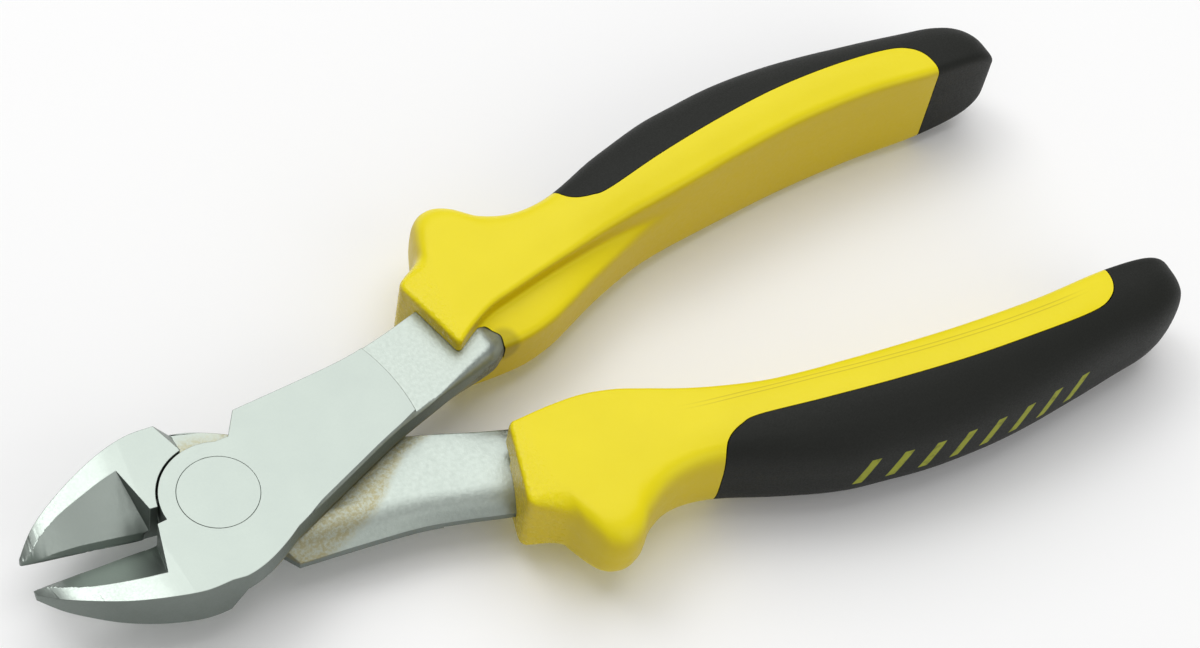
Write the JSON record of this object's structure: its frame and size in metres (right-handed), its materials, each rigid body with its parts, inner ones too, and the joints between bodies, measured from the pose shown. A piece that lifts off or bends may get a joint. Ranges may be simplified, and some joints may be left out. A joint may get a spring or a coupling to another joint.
{
  "type": "diagonal cutting pliers",
  "caption": "Heavy-duty diagonal side cutters with a flush lap joint on a rivet, wedge jaws and contoured soft-grip handles with thumb guards.",
  "frame": {"origin": "centre of the rivet's back face, on the ground back face of the head", "axes": "+X along the centreline from the pivot to the handle ends, +Z along the pivot axis out of the front face, +Y to the left seen from the front with the jaws pointing left"},
  "size_m": [0.1993, 0.0797, 0.023],
  "materials": {
    "steel": "satin ground nickel-grey steel",
    "yellow_plastic": "moulded yellow plastic, slightly glossy",
    "black_rubber": "matte black soft grip"
  },
  "bodies": {
    "front": {"front_half": "steel", "pivot_rivet": "steel", "front_grip_sleeve": "yellow_plastic", "front_grip_overmould": "black_rubber"},
    "back": {"back_half": "steel", "back_grip_sleeve": "yellow_plastic", "back_grip_overmould": "black_rubber"}
  },
  "joints": [
    {"name": "pivot", "type": "hinge", "parent": "front", "child": "back", "pos_m": [0, 0, 0.0045], "axis": [0, 0, -1], "range_deg": [-8.5, 35]}
  ]
}
